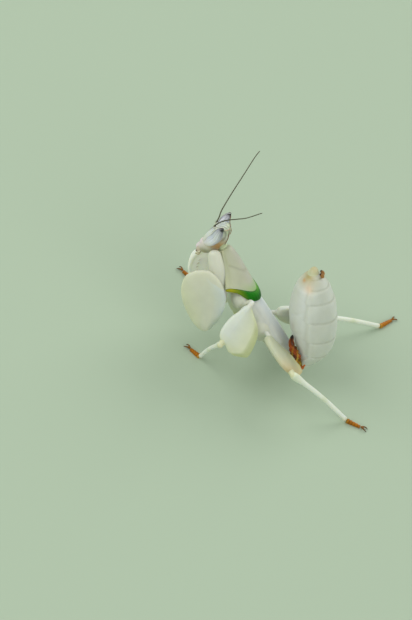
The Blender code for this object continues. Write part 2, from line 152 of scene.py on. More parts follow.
def smooth(points, count):
    """Rows spread evenly in parameter along a Catmull-Rom curve through the given rows."""
    rows = np.asarray(points, float)
    rows = np.vstack([2 * rows[0] - rows[1], rows, 2 * rows[-1] - rows[-2]])
    place = np.linspace(0, len(rows) - 3, count)
    cell = np.minimum(place.astype(int), len(rows) - 4)
    t = (place - cell)[:, None]
    a, b, c, d = (rows[cell + k] for k in range(4))
    return 0.5 * (2 * b + (c - a) * t + (2 * a - 5 * b + 4 * c - d) * t**2 + (3 * b - a - 3 * c + d) * t**3)


def unit(vectors):
    """The same directions at a length of 1."""
    vectors = np.asarray(vectors, float)
    return vectors / np.maximum(np.linalg.norm(vectors, axis=-1, keepdims=True), 1e-9)


def from_back(turn):
    """How far round from the back a place is: 0 on the back, pi on the belly."""
    return np.abs((turn + math.pi) % (2 * math.pi) - math.pi)


def bump(x, middle, width):
    """A bell of height 1 at the middle: e to the minus square of the distance over the width."""
    return np.exp(-(((x - middle) / width) ** 2))


def stain(tint, colour, weight):
    """Mixes a hex colour into a grid of linear colours by a weight from 0 to 1, or a grid of them."""
    weight = np.asarray(np.clip(weight, 0, 1))[..., None]
    return tint * (1 - weight) + linear(colour) * weight


def plain(grid, colour):
    """One hex colour, made linear, for every point of a grid."""
    return np.broadcast_to(linear(colour), grid.shape).copy()


def tube(path, side, wide, high, columns=40):
    """Oval rings square to a path: half widths along the side vector, half heights across it."""
    along = unit(np.gradient(path, axis=0))
    side = unit(np.asarray(side, float) - (along @ np.asarray(side, float))[:, None] * along)
    rise = np.cross(along, side)
    turn = np.linspace(0, 2 * math.pi, columns, endpoint=False)
    wide = np.broadcast_to(wide, (len(path),))[:, None, None]
    high = np.broadcast_to(high, (len(path),))[:, None, None]
    ring = (
        wide * np.cos(turn)[None, :, None] * side[:, None]
        + high * np.sin(turn)[None, :, None] * rise[:, None]
    )
    return path[:, None] + ring


def domed(count, start, end):
    """A factor along a tube that falls to nothing at each end as a quarter circle does."""
    t = np.linspace(0, 1, count)
    low = np.clip(t / start, 0, 1) if start else 1.0
    high = np.clip((1 - t) / end, 0, 1) if end else 1.0
    return np.sqrt(np.maximum(1 - (1 - low) ** 2, 0.0)) * np.sqrt(
        np.maximum(1 - (1 - high) ** 2, 0.0)
    ) + 0.002


def swollen(grid, relief):
    """Moves a grid of rings outwards, away from each ring's middle, by a relief in millimetres."""
    outward = unit(grid - grid.mean(axis=1, keepdims=True))
    return grid + relief[..., None] * outward


def piece(name, shells, material, replaced, voxel=0.0, relax=2):
    """One mesh from closed shells, each a grid of rings and its tints, closed by a point at each end.

    With a voxel size the shells are fused: their union is remade in small even quads, each keeping
    the tint that was nearest, and then every point is drawn halfway to its neighbours a few times.
    """
    points, faces, tints, first = [], [], [], 0
    for grid, tint in shells:
        rows, columns = grid.shape[:2]
        ends = np.stack([grid[0].mean(axis=0), grid[-1].mean(axis=0)])
        points += [grid.reshape(-1, 3), ends]
        tints += [tint.reshape(-1, 3), np.stack([tint[0].mean(axis=0), tint[-1].mean(axis=0)])]
        near = np.arange(rows * columns).reshape(rows, columns) + first
        far = np.roll(near, -1, axis=1)
        quads = np.stack([near[:-1], far[:-1], far[1:], near[1:]], axis=-1).reshape(-1, 4)
        tip, tail = first + rows * columns, first + rows * columns + 1
        caps = np.concatenate([
            np.stack([near[0], np.full(columns, tip), far[0]], axis=-1),
            np.stack([near[-1], far[-1], np.full(columns, tail)], axis=-1),
        ])
        a, b, c = (
            np.concatenate(points)[
                np.concatenate([quads[:, [0, k, k + 1]] for k in (1, 2)] + [caps])[:, j]
            ] for j in range(3)
        )
        if np.einsum("ij,ij->i", a - ends[0], np.cross(b - ends[0], c - ends[0])).sum() < 0:
            quads, caps = quads[:, ::-1], caps[:, ::-1]
        faces += quads.tolist() + caps.tolist()
        first += rows * columns + 2
    mesh = bpy.data.meshes.new(name)
    mesh.from_pydata(np.concatenate(points).tolist(), [], faces)
    stored = mesh.color_attributes.new("tint", "FLOAT_COLOR", "POINT")
    stored.data.foreach_set("color", np.column_stack([np.concatenate(tints), np.ones(first)]).ravel())
    made = bpy.data.objects.new(name, mesh)
    bpy.context.collection.objects.link(made)
    if voxel:
        mesh.remesh_voxel_size, mesh.use_remesh_preserve_attributes = voxel, True
        mesh.use_remesh_fix_poles = mesh.use_remesh_preserve_volume = False
        bpy.context.view_layer.objects.active = made
        bpy.ops.object.voxel_remesh()
        mesh = made.data
        count = len(mesh.vertices)
        flat = np.zeros(count * 3)
        mesh.vertices.foreach_get("co", flat)
        place = flat.reshape(-1, 3)
        pairs = np.zeros(len(mesh.edges) * 2, int)
        mesh.edges.foreach_get("vertices", pairs)
        a, b = pairs.reshape(-1, 2).T
        degree = np.bincount(np.concatenate([a, b]), minlength=count)[:, None]
        for _ in range(relax):
            total = np.stack([
                np.bincount(
                    np.concatenate([a, b]), np.concatenate([place[b, k], place[a, k]]), count
                ) for k in range(3)
            ], axis=1)
            place = 0.5 * place + 0.5 * total / degree
        mesh.vertices.foreach_set("co", place.ravel())
    count = len(mesh.vertices)
    flat = np.zeros(count * 3)
    mesh.vertices.foreach_get("co", flat)
    mesh.vertices.foreach_set("co", flat * MM)
    mesh.shade_smooth()
    mesh.update()
    mesh.materials.clear()
    mesh.materials.append(material)
    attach(made, "root")
    if replaced:
        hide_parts(*replaced)
    return made


def cuticle(name, roughness, depth_mm, grain_mm, grain_height_mm, gloss=0.0, cloud=0.05, shine=0.5):
    """Grown chitin with a wax bloom: the tint's colour, faintly clouded, over a softly lit depth.

    The cloud is noise about 2 mm across, and the grain is a bump of fine granules.
    """
    material = bpy.data.materials.new(name)
    material.use_nodes = True
    tree = material.node_tree
    shader = tree.nodes["Principled BSDF"]
    place = node(tree, "TexCoord").outputs["Object"]
    tint = node(tree, "Attribute", {"attribute_name": "tint"})
    patches = node(tree, "TexNoise", None, {"Vector": place, "Scale": 1 / (2.0 * MM), "Detail": 5.0})
    shade = node(tree, "MapRange", None, {
        "Value": patches.outputs["Fac"], "From Min": 0.3, "From Max": 0.7,
        "To Min": 1 - cloud, "To Max": 1 + cloud / 2,
    })
    colour = node(
        tree, "VectorMath", {"operation": "SCALE"},
        {0: tint.outputs["Color"], "Scale": shade.outputs["Result"]}
    )
    tree.links.new(colour.outputs["Vector"], shader.inputs["Base Color"])
    grain = node(tree, "TexNoise", None, {"Vector": place, "Scale": 1 / (grain_mm * MM), "Detail": 3.0})
    raised = node(tree, "Bump", None, {
        "Height": grain.outputs["Fac"], "Distance": grain_height_mm * MM, "Strength": 1.0,
    })
    tree.links.new(raised.outputs["Normal"], shader.inputs["Normal"])
    shader.inputs["Roughness"].default_value = roughness
    shader.inputs["Specular IOR Level"].default_value = shine
    shader.inputs["Subsurface Weight"].default_value = 0.5 if depth_mm else 0.0
    shader.inputs["Subsurface Radius"].default_value = (1.0, 0.9, 0.65)
    shader.inputs["Subsurface Scale"].default_value = max(depth_mm, 0.01) * MM
    shader.inputs["Coat Weight"].default_value = gloss
    shader.inputs["Coat Roughness"].default_value = 0.25
    return material


def ball(centre, half_sizes, rows=26, columns=36):
    """An ellipsoid as rings from its lowest point to its highest."""
    lift, turn = np.meshgrid(
        np.linspace(-1.54, 1.54, rows), np.linspace(0, 2 * math.pi, columns, endpoint=False), indexing="ij",
    )
    globe = np.stack([np.cos(lift) * np.cos(turn), np.cos(lift) * np.sin(turn), np.sin(lift)], axis=-1)
    return np.asarray(centre, float) + globe * half_sizes


f, turn = np.meshgrid(
    np.linspace(0.3, 14.0, 150), np.linspace(0, 2 * math.pi, 110, endpoint=False), indexing="ij"
)
lead = np.maximum(0.0, (f - 9.0) / 5.0)
half_width = 2.6 * (1 - 0.08 * lead) - 0.3 * np.maximum(0.0, 1 - f / 4)
half_height = 1.85 * (1 - 0.1 * lead)
thorax = in_body(np.stack([
    f - 1.9 * lead * np.cos(turn), half_width * np.sin(turn), half_height * np.cos(turn) - 0.03 * f,
], axis=-1))
away = from_back(turn)
back_plate = 1 / (1 + np.exp((away - 0.95) / 0.05))
relief = 0.03 * back_plate - 0.03 * bump(away, 0.97, 0.08) - 0.02 * bump(away, 0.0, 0.05)
relief -= 0.05 * bump(f - 0.25 * np.cos(away * 2), 6.4, 0.25)
for front, rear in ((12.2, 7.3), (6.0, 2.2)):
    along = (front - f) / (front - rear)
    # a faint wing pad on each side of the ring
    pad = np.clip(along, 0, 1) ** 0.6 * (along < 1)
    relief += 0.08 * pad * bump(away, 0.72 + 0.1 * along, 0.22)
relief += 0.05 * np.sin(f * 3.1 + 2.0 * away) * bump(away, 1.7, 0.4)
thorax_tint = plain(thorax, IVORY)
# Painted shade: the back of the thorax is tinted bluish grey where it lies in shade.
thorax_tint = stain(thorax_tint, "#C6CDD2", 0.75 * bump(away, 0, 0.75))
# Painted light: the upper right flank is tinted near white to lighten the shade the abdomen casts on it.
thorax_tint = stain(thorax_tint, "#EEF1F4", 0.8 * bump(turn, 2 * math.pi - 0.7, 0.6))
thorax_tint = stain(thorax_tint, "#B4BABC", 0.2 * bump(away, 0.97, 0.12) + 0.15 * bump(f, 6.4, 0.3))
thorax_tint = stain(thorax_tint, LEAF_YELLOW, 0.5 * bump(away, 2.4, 0.8))
thorax = swollen(thorax, relief)

RING_ENDS = np.array([0.33, 0.45, 0.556, 0.667, 0.765, 0.85, 0.917, 0.97])
back_belly = smooth(
    # a back point and a belly point, each forward and up, and the half width between them
    [
        (0.30, 1.75, 0.30, -1.80, 2.3), (0.12, 1.80, -1.75, -1.40, 2.4), (0.00, 1.92, -3.20, -0.05, 2.6),
        (-0.05, 2.10, -3.90, 2.10, 2.9), (0.00, 2.35, -3.80, 4.60, 3.3), (0.70, 2.75, -3.00, 7.30, 3.9),
        (3.10, 3.30, -0.95, 9.50, 4.6), (5.90, 4.50, 1.60, 11.15, 4.95), (8.35, 6.00, 4.70, 12.40, 4.6),
        (10.40, 7.95, 7.40, 12.85, 3.8), (11.60, 9.70, 9.60, 13.00, 2.9), (12.00, 11.00, 11.10, 12.80, 1.6),
    ],
    300,
)
t, turn = np.meshgrid(np.linspace(0, 1, 300), np.linspace(0, 2 * math.pi, 150, endpoint=False), indexing="ij")
over = np.sign(np.cos(turn)) * np.abs(np.cos(turn)) ** 1.15
middle = (back_belly[:, None, 0:2] + back_belly[:, None, 2:4]) / 2
reach = (back_belly[:, None, 0:2] - back_belly[:, None, 2:4]) / 2
taper = 1 - 0.7 * np.clip((t - 0.83) / 0.17, 0, 1) ** 1.3
cut = middle + (taper * over)[..., None] * reach
abdomen = in_body(
    np.stack([cut[..., 0], taper * back_belly[:, None, 4] * np.sin(turn), cut[..., 1]], axis=-1)
)
away = from_back(turn)
# the rings' edges lie nearer the tip along the back
edge_lean = 0.008 * np.cos(2 * away) - 0.055 * np.clip(1.4 - away, 0, 1.1)
nearest = np.min(np.abs((t + edge_lean)[..., None] - RING_ENDS), axis=-1)
ring_number = np.searchsorted(RING_ENDS, (t + edge_lean).ravel()).reshape(t.shape)
ring_from = np.concatenate([[0.2], RING_ENDS])[ring_number]
ring_to = np.concatenate([RING_ENDS, [1.05]])[ring_number]
within = np.clip((t + edge_lean - ring_from) / (ring_to - ring_from), 0, 1)
grown = np.clip((t - 0.2) / 0.15, 0, 1)
side_ridge = bump(away, 1.45 + 0.16 * (within - 0.5), 0.07)
# the creases between rings are deepest on the belly side
pleat = 0.12 + 0.88 * np.clip((away - 1.35) / 0.35, 0, 1)
relief = grown * pleat * (
    0.04 * np.sin(math.pi * within) ** 0.7 + 0.11 * within**1.5 - 0.05 * bump(nearest, 0, 0.006)
)
relief += grown * (0.1 * side_ridge - 0.05 * bump(away, 1.26, 0.1) - 0.04 * bump(away, 1.66, 0.1))
relief += 0.05 * bump(away, 0, 0.12) * grown
relief += 0.06 * np.sin(17 * t + 3 * np.cos(turn)) * np.sin(3 * turn + 1.3) * grown
for place, slope, reach in ((0.60, 0.05, 0.5), (0.71, 0.07, 0.45), (0.5, 0.06, 0.4)):
    fold = bump(t - place - slope * (away - 1.0), 0, 0.008) * bump(away, 0.75, reach)
    relief -= 0.07 * fold
abdomen_tint = plain(abdomen, "#D3D6CC")
# Painted shade: the belly side is tinted a darker grey green where it turns away from the light.
abdomen_tint = stain(abdomen_tint, "#B9BFAE", 0.4 * bump(away, 2.3, 0.55) * grown)
abdomen_tint = stain(abdomen_tint, "#DDE0DE", 0.5 * bump(away, 1.1, 0.3))
abdomen_tint = stain(
    abdomen_tint, CREASE_GREY,
    grown * (0.6 * pleat * bump(nearest, 0, 0.005) + 0.2 * bump(away, 1.3 + 0.16 * (within - 0.5), 0.08))
)
abdomen_tint = stain(abdomen_tint, "#CFCFA9", 0.55 * bump(t, 0.2, 0.1))
abdomen_tint = stain(abdomen_tint, "#B4A468", 0.98 * np.clip((t - 0.84) / 0.1, 0, 1) * bump(away, 0.9, 1.3))
abdomen_tint = stain(abdomen_tint, "#CDD2B4", 0.8 * np.clip((t - 0.94) / 0.06, 0, 1))
abdomen_tint = stain(abdomen_tint, "#E2C4A0", 0.6 * bump(t, 0.865, 0.03) * bump(away, 1.4, 0.35))
abdomen_tint = stain(abdomen_tint, "#CE9450", 0.75 * bump(t, 0.9, 0.012) * bump(away, 0.6, 0.22))
abdomen_tint = stain(abdomen_tint, "#B5A98E", 0.3 * bump(t, 0.62, 0.02) * bump(away, 0.6, 0.12))
abdomen = swollen(abdomen, relief)
tail_line = smooth([(10.0, 0, 10.7), (11.1, 0, 11.75), (11.85, 0, 12.5)], 50)
narrowing = domed(50, 0.1, 0.7)
tail_plate = in_body(tube(tail_line, (0, 1, 0), 1.25 * narrowing, 0.9 * narrowing))
tail_tint = stain(plain(tail_plate, "#CDD2B0"), "#B9A878", np.linspace(-0.4, 0.7, 50)[:, None])

# place forward, knob's reach out and height, lean forward at the root, drop of the right knob
HIPS = {"middle": (12.1, 3.75, 1.2, 0.6, 0.7), "hind": (5.8, 3.5, 0.5, 0.9, 0.0)}
hip_shells = []
for forward, out, high, lean, lower in HIPS.values():
    for flip, up in ((1, high), (-1, high - lower)):
        path = smooth([
            (forward + lean, 0.9, -1.1), (forward + lean, 1.5, -1.4), (forward + lean / 2, 2.3, -1.2),
            (forward, 2.8, -0.7), (forward, 3.0, -0.1),
            (forward, out - 0.5, up - 0.4), (forward, out - 0.2, up - 0.1),
        ], 60)
        girth = smooth(
            [(0.4,), (0.58,), (0.66,), (0.62,), (0.54,), (0.46,), (0.4,)], 60
        )[:, 0] * domed(60, 0.1, 0.1)
        grid = in_body(tube(path, (1, 0, 0), girth, girth) * (1, flip, 1))
        hip_shells.append((grid, stain(plain(grid, IVORY), LEAF_YELLOW, 0.35)))

    for flip in (1, -1):
        base = in_body(ball((forward + 0.4, 2.0 * flip, -0.8), (2.1, 1.45, 1.65)))
        hip_shells.append((base, stain(plain(base, IVORY), LEAF_YELLOW, 0.3)))

breast = in_body(ball((14.2, 0.0, -0.6), (2.6, 2.5, 1.9)))
hip_shells.append((breast, stain(plain(breast, IVORY), LEAF_YELLOW, 0.4)))

waxy_ivory = cuticle("waxed_ivory_chitin", 0.48, 0.9, 0.22, 0.012)
trunk_nodes = ["mesothorax", "metathorax", "abdomen_base", "abdomen_middle", "abdomen_tip"]
trunk_nodes += [f"coxa_{pair}_{side}" for pair in HIPS for side in ("left", "right")]
piece(
    "trunk_skin", [(thorax, thorax_tint), (abdomen, abdomen_tint), (tail_plate, tail_tint), *hip_shells],
    waxy_ivory, trunk_nodes, 0.11, 4
)

# ---------------------------------------------------------------- walking legs
# Four legs of the same waxed chitin: a flattened thigh whose lower edge widens to a petal, a ball of a
# knee and a slender shin. The petals are thinner and yellower, and let more light through.

SHIFT = WAIST * (1, 1, 0)
LEGS = {
    # hip in body axes, then knee, ankle and claw end from the point on the floor below the waist
    # after them the way the petal hangs, its reach, the thigh's crest and the shin's radius
    "middle_left": (
        (12.1, 3.75, 1.2), (-8.5, -9.7, 8.9), (-11.8, -6.5, 0.45), (-13.9, -5.85, 0.3), (0.92, 0.11, -0.37),
        5.3, 1.5, 0.42
    ),
    "middle_right": (
        (12.1, -3.6, 0.5), (-13.2, 3.9, 4.5), (-20.9, 8.6, 0.45), (-23.0, 9.3, 0.3), (0.92, -0.11, -0.37),
        5.3, 1.5, 0.42
    ),
    "hind_left": (
        (5.8, 3.5, 0.5), (4.5, -8.6, 9.5), (14.8, -3.6, 0.45), (17.4, -3.3, 0.3), (0.43, 0.74, -0.52), 3.2,
        1.6, 0.5
    ),
    "hind_right": (
        (5.8, -3.5, 0.5), (1.9, 9.6, 5.7), (11.05, 19.5, 0.45), (12.2, 22.3, 0.3), (-0.27, -0.21, -0.88),
        2.8, 1.6, 0.5
    ),
}
THIGH_PROFILE = [
    # place along the shaft, shaft radius, share of the crest, share of the lobe, rim's lead
    (0.0, 0.5, 0.0, 0.0, 0.0), (0.1, 0.68, 0.1, 0.2, 0.0), (0.25, 0.72, 0.3, 0.58, 0.0),
    (0.43, 0.76, 0.8, 0.82, 0.0),
    (0.62, 0.78, 1.0, 0.92, 0.1), (0.8, 0.74, 0.9, 0.98, 0.2), (0.92, 0.66, 0.55, 0.95, 0.35),
    (1.0, 0.55, 0.1, 0.65, 0.8),
]
HIND_CREST = (0.5, 0.9, 1.15, 1.15, 1.1, 0.9, 0.55, 0.1)


def thigh(hip, knee, lobe_way, lobe, crest, outer, profile):
    """A thick-backed petal in one shell, round at the shaft and thinning smoothly to its rim.

    Across it, x = m + w cos a from the crest to the petal's rim and y = h |sin a| to the power 0.6. The
    half thickness h falls from the shaft's radius r to 0.24 as (1 - x / p) to the power 1.5, where p is
    the petal's reach, and the outer quarter folds back a little towards the body.
    """
    along = unit(knee - hip)
    length = np.linalg.norm(knee - hip)
    way = unit(np.asarray(lobe_way) - (np.asarray(lobe_way) @ along) * along)
    flat_way = np.cross(along, way)
    facing = math.copysign(1, flat_way @ outer)
    t, shaft, rise, reach, lead = smooth(profile, 120).T[..., None]
    turn = np.linspace(0, 2 * math.pi, 110, endpoint=False)[None]
    back = shaft + rise * np.maximum(0, crest - shaft)
    petal = (shaft + np.maximum(0, lobe - shaft) * reach) * (1 - 0.2 * np.clip((t - 0.9) / 0.1, 0, 1) ** 2)
    ends = domed(120, 0.06, 0.06)[:, None]
    out = (petal - back * ends) / 2 + (petal + back * ends) / 2 * np.cos(turn)
    share = np.clip(out / petal, 0, 1)
    half = (0.24 + (shaft - 0.24) * (1 - share) ** 1.5) * ends
    fold = np.clip((share - 0.68) / 0.32, 0, 1) ** 1.2
    lean = (
        -0.15 * np.sin(math.pi * share) * np.sin(math.pi * t)
        - 0.95 * fold * np.clip((petal - 2.2) / 2, 0, 1)
    )
    depth = np.sign(np.sin(turn)) * np.abs(np.sin(turn)) ** 0.6 * half + facing * lean
    depth += 0.03 * np.sin(28 * t + 5 * share) * share
    ahead = lead * lobe / 5 * np.clip(share / 0.6, 0, 1)
    centre = hip + (0.76 + t * (length - 1.5))[..., None] * along
    grid = centre + out[..., None] * way + depth[..., None] * flat_way + ahead[..., None] * along
    tint = stain(plain(grid, "#D6D9B6"), "#D6DCD4", 0.85 * (1 - share) ** 1.5)
    tint = stain(
        tint, "#C3C99A",
        0.75 * np.clip(fold * 3, 0, 1) * np.clip((petal - 2.6) / 1.5, 0.25, 1)
        + 0.3 * bump(share, 1, 0.1) + 0.35 * np.clip((t - 0.8) / 0.2, 0, 1)
    )
    tint = stain(tint, "#CBCFB2", 0.25 * bump(np.sin(11 * share + 2.2 * t), 1, 0.35) * share)
    return grid, tint


def shin(knee, ankle, thickness):
    """A bowed tube: radius = thickness (0.92 + a swelling at the knee - 0.12 s), s from knee to ankle."""
    along = unit(ankle - knee)
    bow = unit(np.cross(along, (0.0, 0.0, 1.0)))
    s = np.linspace(0, 1, 120)
    start, end = knee - along * 0.42, ankle - along * 0.12
    path = start + s[:, None] * (end - start) + 0.35 * np.sin(math.pi * s)[:, None] * np.cross(bow, along)
    radius = thickness * (
        0.92 + 0.5 * bump(s, 0.07, 0.1) - 0.12 * s + 0.1 * bump(s, 0.97, 0.04)
    ) * domed(120, 0.03, 0.02)
    grid = tube(path, bow, radius * 0.88, radius, 44)
    far = s[:, None]
    tint = stain(plain(grid, "#E6EADD"), "#CFD8B2", 0.6 * bump(far, 0.0, 0.12) + 0.5 * bump(far, 0.55, 0.05))
    return grid, stain(tint, "#C9A86A", 0.6 * bump(far, 1.0, 0.035))


petal_chitin = cuticle("waxed_petal_chitin", 0.5, 1.1, 0.3, 0.012)
for leg_name, (hip, knee, ankle, toe, lobe_way, lobe, crest, thickness) in LEGS.items():
    hip_place, knee_place, ankle_place = in_body(hip), SHIFT + knee, SHIFT + ankle
    outer = body_axes[LEFT] * math.copysign(1, hip[1])
    profile = np.array(THIGH_PROFILE)
    if "hind" in leg_name:
        profile[:, 2] = HIND_CREST
    grid, tint = thigh(hip_place, knee_place, lobe_way, lobe, crest, outer, profile)
    if "hind" in leg_name:
        onward = np.linspace(0, 1, 120)[:, None]
        # Painted light: the near hind thigh is tinted a shaded khaki green, painted shade with a green
        # reflection, and the far one near white, which lightens the shade it lies in.
        tint = stain(tint, "#BABD98" if hip[1] > 0 else "#ECEFE6", 0.7)
        tint = stain(tint, "#C0A672", 0.6 * np.clip((onward - 0.5) / 0.4, 0, 1) * (hip[1] > 0))
    shells = [(grid, tint)]
    knuckle, hip_ball = ball(knee_place, (0.54, 0.54, 0.54)), ball(hip_place, (0.42, 0.42, 0.42))
    leg_line = unit(knee_place - hip_place)
    neck_line = hip_place + leg_line * np.linspace(0, 1.3, 16)[:, None]
    ring = tube(neck_line, body_axes[FORWARD], 0.42, 0.42, 36)
    knee_line = knee_place - leg_line * np.linspace(1.2, 0, 16)[:, None]
    cuff = tube(knee_line, body_axes[FORWARD], 0.5, 0.5, 36)
    shells += [
        shin(knee_place, ankle_place, thickness), (knuckle, plain(knuckle, "#D2D2AE")),
        (hip_ball, plain(hip_ball, IVORY))
    ]
    shells += [(ring, plain(ring, IVORY)), (cuff, plain(cuff, "#D2D2AE"))]
    piece(
        "leg_skin_" + leg_name, shells, petal_chitin,
        ["femur_" + leg_name, "tibia_" + leg_name], 0.085, 5
    )

# ---------------------------------------------------------------- feet and claws
# Amber chitin, harder and glossier than the legs: each foot has five joints, widest at their far ends,
# on a flat sole, and ends in a pair of curved claws that rest on the floor.

amber_chitin = cuticle("glossy_amber_chitin", 0.34, 0.0, 0.12, 0.006, gloss=0.1, cloud=0.2, shine=0.25)


def foot(ankle, toe):
    """Rings standing on the floor along the foot: saw-toothed half width and height in five joints."""
    along = unit((toe - ankle) * (1, 1, 0))
    s = np.linspace(0, 1, 150)
    joint = (s * 5) % 1.0
    swell = 0.86 + 0.22 * joint**1.5 - 0.2 * bump(joint, 0.0, 0.12) - 0.1 * bump(joint, 1.0, 0.06)
    half = (0.42 - 0.14 * s) * swell * domed(150, 0.05, 0.05)
    tall = (0.86 - 0.32 * s) * (0.45 + 0.55 * swell) * (0.35 + 0.65 * domed(150, 0.08, 0.05))
    turn = np.linspace(0, 2 * math.pi, 36, endpoint=False)
    wide = np.sign(np.cos(turn)) * np.abs(np.cos(turn)) ** 0.8
    lift = np.clip(0.5 + 0.62 * np.sin(turn), 0, 1.12) / 1.12
    middle = SHIFT + ankle * (1, 1, 0) + s[:, None] * (toe - ankle) * (1, 1, 0)
    sideways = half[:, None, None] * wide[None, :, None] * np.cross((0.0, 0.0, 1.0), along)
    grid = middle[:, None] + sideways + (tall[:, None] * lift)[..., None] * (0, 0, 1.0)
    place = s[:, None]
    tint = stain(plain(grid, "#B06A00"), "#6C3E00", 0.8 * bump(joint, 0.02, 0.12)[:, None])
    tint = stain(tint, "#CCA038", 0.6 * bump(place, 0.0, 0.12) + 0.5 * np.clip(0.4 - lift, 0, 1))
    return grid, stain(tint, "#5E2E08", 0.5 * bump(place, 1.0, 0.1))


def hooks(root, along):
    """Two claws from one root, each a curve that rises, spreads and comes down to a fine tip."""
    across = np.cross((0.0, 0.0, 1.0), along)
    grids = []
    for flip in (1, -1):
        line = smooth(
            [
                (-0.35, 0.04, 0.34), (-0.05, 0.1, 0.4), (0.16, 0.24, 0.42), (0.5, 0.36, 0.3),
                (0.82, 0.32, 0.06)
            ],
            48
        )
        path = root + line[:, :1] * along + line[:, 1:2] * across * flip + line[:, 2:] * (0, 0, 1.0)
        radius = np.linspace(0.2, 0.045, 48) * domed(48, 0.2, 0.04)
        grid = tube(path, (0.0, 0.0, 1.0), radius, radius, 20)
        grids.append((grid, stain(plain(grid, "#8E5A10"), "#3A2006", np.linspace(0, 1, 48)[:, None] ** 1.5)))
    return grids


for leg_name, (_, _, ankle, toe, *_) in LEGS.items():
    ankle, toe = np.array(ankle), np.array(toe)
    along = unit((toe - ankle) * (1, 1, 0))
    piece("foot_" + leg_name, [foot(ankle, toe)], amber_chitin, ["tarsus_" + leg_name])
    root = SHIFT + toe * (1, 1, 0) + along * 0.41
    piece("claw_pair_" + leg_name, hooks(root, along), amber_chitin, ["claws_" + leg_name])

# ---------------------------------------------------------------- shield, collar and neck
# The arched shield over the forepart is one hard plate, matt with wax. The green collar lies along its
# hind margin, soft and slightly glossy. A soft wrinkled neck joins the shield to the head.

FOREPART_PLACE = (21.4, 0.0, 0.9)
SHIELD_EDGE, SHIELD_TAIL = 5.66, 2.99  # hind margin at the sides, and how much further back the top reaches
forepart_axes = turned(body_axes, FOREPART_LIFT, FORWARD, UP)


def in_forepart(points):
    """Points from the forepart's own axes, whose origin is where the neck begins, to the floor's."""
    return in_body(FOREPART_PLACE) + np.asarray(points, float) @ forepart_axes


shield_rows = smooth(
    # lower edge's place forward, its height, half width, rise above it, drop below it
    [
        (0.25, -0.45, 1.0, 1.05, 0.75), (-0.5, -0.5, 1.55, 1.7, 0.8), (-1.9, -0.6, 2.15, 2.35, 0.8),
        (-3.3, -0.75, 2.65, 2.85, 0.75), (-4.6, -0.95, 3.3, 3.35, 0.6), (-SHIELD_EDGE, -1.2, 3.9, 3.9, 0.5),
    ],
    130,
)
edge, level, half_width, rise, drop = shield_rows.T[..., None]
turn = np.linspace(0, 2 * math.pi, 150, endpoint=False)[None]
over, across = np.cos(turn), np.sin(turn)
s = np.linspace(0, 1, 130)[:, None]
ends = domed(130, 0.05, 0.02)[:, None]
height = level + ends * np.where(over > 0, rise * over, drop * over)
side = ends * half_width * np.sign(across) * np.abs(across) ** 0.9
shield = np.stack(
    [edge + SHIELD_TAIL * edge / SHIELD_EDGE * np.clip(over, 0, 1) ** 2 * (edge < 0), side, height], axis=-1
)
away = from_back(turn)
relief = 0.05 * bump(away, 0, 0.05) * (s > 0.1) - 0.06 * bump(
    s - 0.06 * np.cos(2 * away), 0.5, 0.03
) * (away < 1.3)
relief = (
    relief - 0.05 * bump(away, 1.42, 0.06) + 0.06 * bump(away, 1.6, 0.08)
    + 0.03 * np.sin(9 * s + 4 * away) * bump(away, 0.8, 0.5)
)
shield_tint = stain(plain(shield, "#BDBFA4"), "#C2BEB6", 0.6 * bump(away, 0, 0.6))
shield_tint = stain(shield_tint, "#C9CCA6", 0.5 * bump(away, 1.55, 0.25) + 0.35 * bump(s, 0, 0.12))
shield_tint = stain(
    shield_tint, "#A5A48E", 0.45 * bump(s - 0.06 * np.cos(2 * away), 0.5, 0.03) * (away < 1.3)
)
shield_tint = stain(shield_tint, "#8FB868", 0.9 * np.clip((s - 0.76) / 0.2, 0, 1) * bump(away, 0, 0.7))
hard_ivory = cuticle("waxed_hard_ivory_chitin", 0.42, 0.8, 0.2, 0.01)
piece(
    "shield_plate", [(swollen(in_forepart(shield), relief), shield_tint)], hard_ivory,
    ["pronotum"]
)

angle = np.linspace(-math.radians(92), math.radians(92), 220)
aloft = np.maximum(np.cos(angle), 0)
widening = 0.35 + 0.65 * np.clip((aloft - 0.42) / 0.3, 0, 1)
width = (0.35 + (1.35 * aloft**0.9 + SHIELD_TAIL * (aloft - aloft**2)) * widening)[:, None, None]
outward = np.stack([np.zeros(220), np.sin(angle), np.cos(angle)], axis=1)
margin = np.array([-5.6, 0.0, -1.2]) + outward * (0.0, 3.8, 3.8)
margin[:, 0] -= SHIELD_TAIL * aloft**2
backward = np.array([-math.cos(math.radians(12)), 0.0, 0.0]) + outward * math.sin(math.radians(12))
turn = np.linspace(0, 2 * math.pi, 48, endpoint=False)
along_band = (0.5 - 0.5 * np.cos(turn))[None, :, None]
thick = 0.27 * (1 - 0.25 * along_band) * np.sin(turn)[None, :, None] * domed(220, 0.03, 0.03)[:, None, None]
pucker = 1 + 0.08 * np.sin(angle * 38)[:, None, None] * along_band
band = margin[:, None] + backward[:, None] * width * along_band + outward[:, None] * thick * pucker
share = np.broadcast_to(along_band[..., 0], band.shape[:2])
from_top = np.broadcast_to(angle[:, None], share.shape)
band_tint = stain(
    plain(band, "#107000"), "#6FAA3E", 0.85 * bump(share, 0.0, 0.3) * bump(from_top, -0.35, 0.45)
)
band_tint = stain(band_tint, "#9A9A14", np.clip((np.abs(from_top) - 0.75) / 0.6, 0, 1) ** 1.2)
band_tint = stain(band_tint, "#0E4C04", 0.55 * bump(share, 0.75, 0.25) * bump(from_top, 0.0, 0.7))
green_chitin = cuticle("glossy_green_chitin", 0.4, 0.0, 0.25, 0.01, gloss=0.03, cloud=0.25, shine=0.15)
piece("collar_band", [(in_forepart(band), band_tint)], green_chitin, ["collar"])

